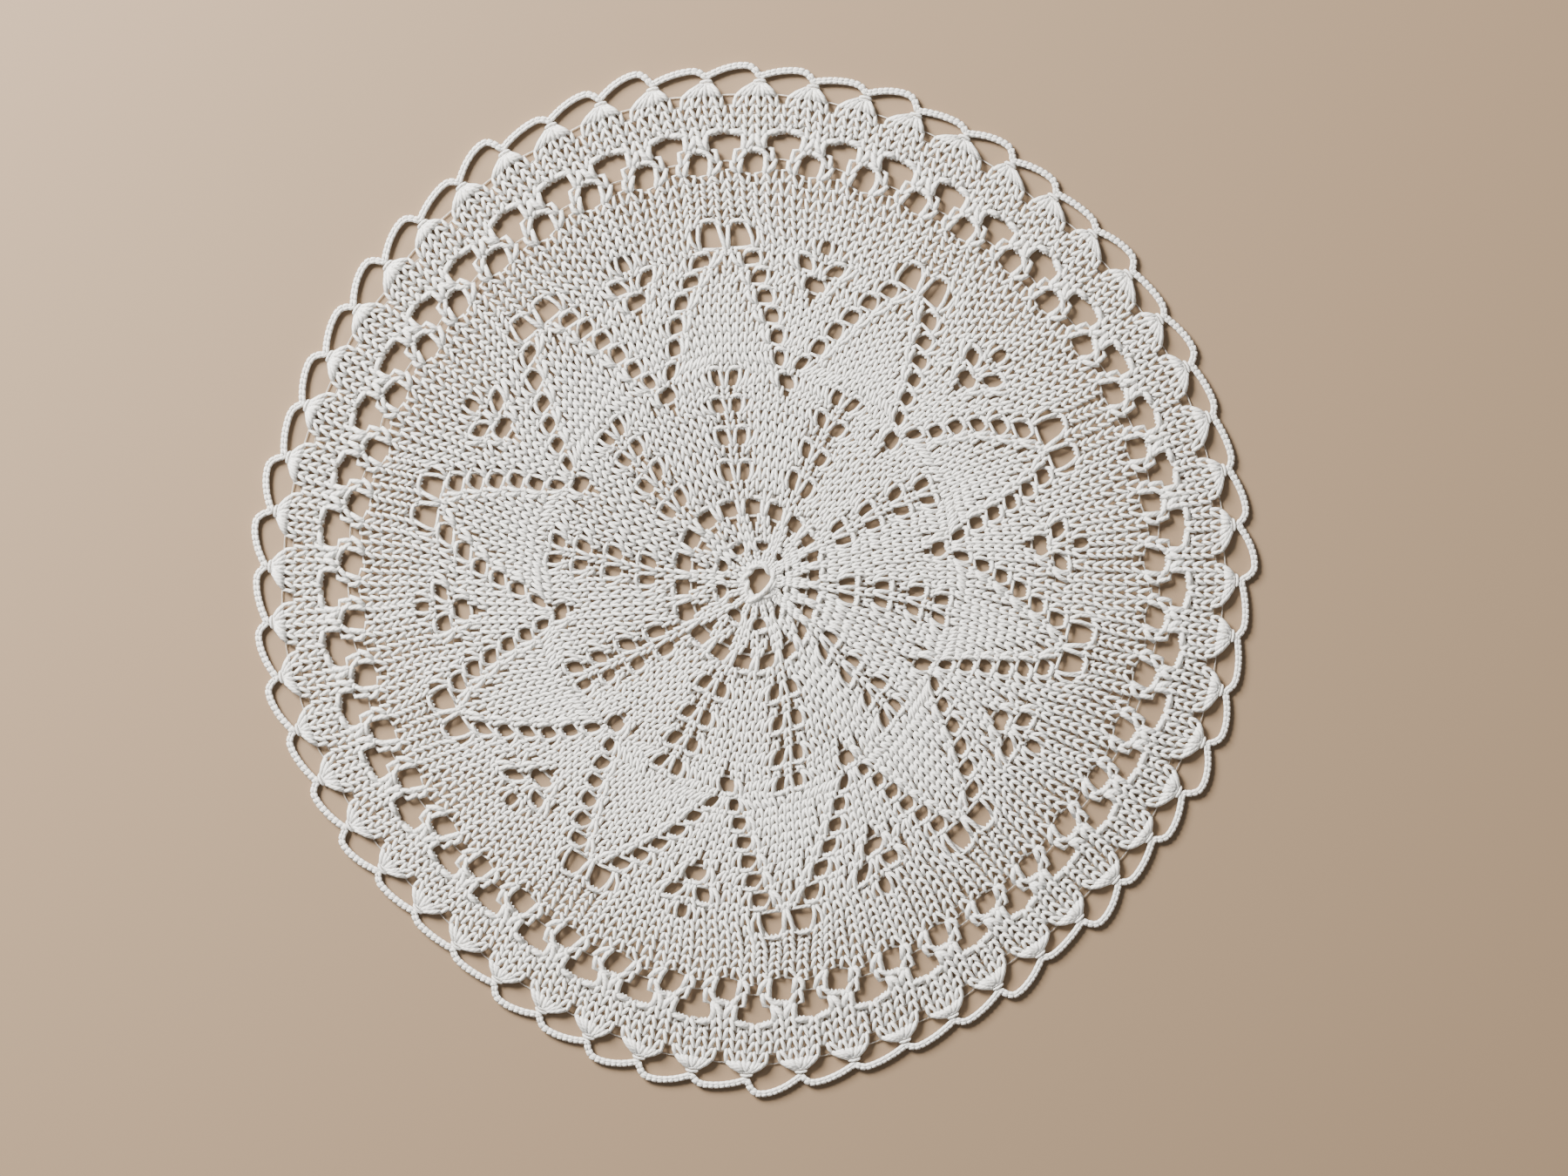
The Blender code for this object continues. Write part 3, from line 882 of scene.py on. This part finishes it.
ply_and_groove_shade.color_ramp.elements[1].position = PLY_COLOUR_FROM
tree.links.new(ply.outputs[0], ply_and_groove_shade.inputs[0])

# painted shade: the lower a thread lies in the cloth, the darker and warmer its colour,
# multiplied into the ply colour
place = node("ShaderNodeTexCoord")
place_parts = node("ShaderNodeSeparateXYZ")
tree.links.new(place.outputs["Object"], place_parts.inputs[0])
height_share = node("ShaderNodeMapRange")
height_share.inputs["From Min"].default_value = HOLLOW_LEVEL
height_share.inputs["From Max"].default_value = TOP_LEVEL
tree.links.new(place_parts.outputs[2], height_share.inputs["Value"])
level_shade = node("ShaderNodeValToRGB")
level_shade.color_ramp.elements[0].color = LOW_THREAD_SHADE
level_shade.color_ramp.elements[1].color = TOP_UNSHADED
tree.links.new(height_share.outputs[0], level_shade.inputs[0])
shaded_colour = node("ShaderNodeMix", data_type="RGBA", blend_type="MULTIPLY")
shaded_colour.inputs[0].default_value = 1.0
tree.links.new(ply_and_groove_shade.outputs[0], shaded_colour.inputs[6])
tree.links.new(level_shade.outputs[0], shaded_colour.inputs[7])
tree.links.new(shaded_colour.outputs[2], shader.inputs["Base Color"])
for piece in knitting + [ring_piece, tail_piece, fans_piece, knots, chain]:
    piece.data.materials.append(cotton)


# ---- Table, light and camera ---------------------------------------------------------------
# The doily lies on a plain pale table top, under one soft window at the upper left and the
# room's own light, with the camera straight above it.
TABLE_SIZE = 3.0
TABLE_COLOUR = (0.30, 0.205, 0.125, 1.0)
ROOM_COLOUR = (1.0, 0.995, 0.985, 1.0)
ROOM_STRENGTH = 0.26
WINDOW_PLACE = (-0.52, 0.50, 0.46)
WINDOW_SIZE = 0.35
WINDOW_POWER = 31.0
WINDOW_COLOUR = (1.0, 0.985, 0.955)
CAMERA_PLACE = (5.2 * MM, -1.5 * MM, 0.60)
VIEW_WIDTH = 0.279              # how much of the table the camera takes in
SENSOR_WIDTH = 36.0

bpy.ops.mesh.primitive_plane_add(size=TABLE_SIZE, location=(0.0, 0.0, 0.0))
table = bpy.context.active_object
table.name = "table_top"
table_paint = bpy.data.materials.new("pale_table")
table_paint.use_nodes = True
table_shader = table_paint.node_tree.nodes["Principled BSDF"]
table_shader.inputs["Base Color"].default_value = TABLE_COLOUR
table_shader.inputs["Roughness"].default_value = 0.6
table.data.materials.append(table_paint)

room = bpy.data.worlds.new("studio")
room.use_nodes = True
room_light = room.node_tree.nodes["Background"]
room_light.inputs["Color"].default_value = ROOM_COLOUR
room_light.inputs["Strength"].default_value = ROOM_STRENGTH
scene.world = room

lamp = bpy.data.lights.new("window", "AREA")
lamp.energy = WINDOW_POWER
lamp.size = WINDOW_SIZE
lamp.color = WINDOW_COLOUR
window = bpy.data.objects.new("window", lamp)
window.location = WINDOW_PLACE
window.rotation_euler = (-Vector(WINDOW_PLACE)).to_track_quat("-Z", "Y").to_euler()
scene.collection.objects.link(window)

camera = bpy.data.cameras.new("camera")
camera.sensor_width = SENSOR_WIDTH
camera.lens = SENSOR_WIDTH * CAMERA_PLACE[2] / VIEW_WIDTH
eye = bpy.data.objects.new("camera", camera)
eye.location = CAMERA_PLACE
scene.collection.objects.link(eye)
scene.camera = eye
